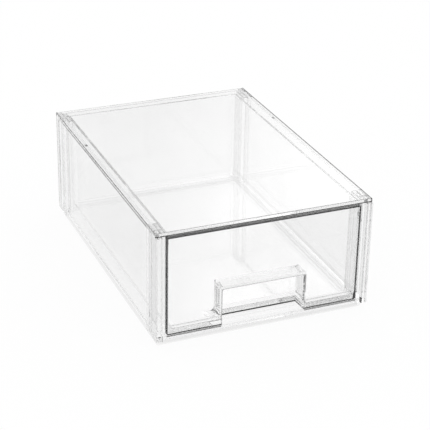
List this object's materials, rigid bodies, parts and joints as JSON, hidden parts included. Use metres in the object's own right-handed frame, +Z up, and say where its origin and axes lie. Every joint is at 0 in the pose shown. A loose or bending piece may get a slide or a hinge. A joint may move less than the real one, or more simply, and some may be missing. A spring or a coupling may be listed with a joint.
{
  "type": "stackable drawer box",
  "caption": "Clear stackable case, open at the front, with one deep drawer that slides out by a recessed finger pull; a rim under the base lifts it off the box below.",
  "frame": {"origin": "middle of the underside, at the height of the stacking rim's foot", "axes": "+X across the front to the right as seen from the front, -Y out of the drawer front, +Z up"},
  "size_m": [0.165, 0.235, 0.089],
  "materials": {
    "clear_panel": "clear polystyrene, polished",
    "clear_post": "clear polystyrene, polished",
    "clear_drawer": "clear polystyrene, polished"
  },
  "bodies": {
    "case": {"top_panel": "clear_panel", "bottom_panel": "clear_panel", "back_panel": "clear_panel", "left_side_panel": "clear_panel", "right_side_panel": "clear_panel", "front_left_post": "clear_post", "front_right_post": "clear_post", "rear_left_post": "clear_post", "rear_right_post": "clear_post"},
    "drawer": {"drawer": "clear_drawer"}
  },
  "joints": [
    {"name": "drawer_slide", "type": "slide", "parent": "case", "child": "drawer", "axis": [0, -1, 0], "range_m": [0, 0.18]}
  ]
}
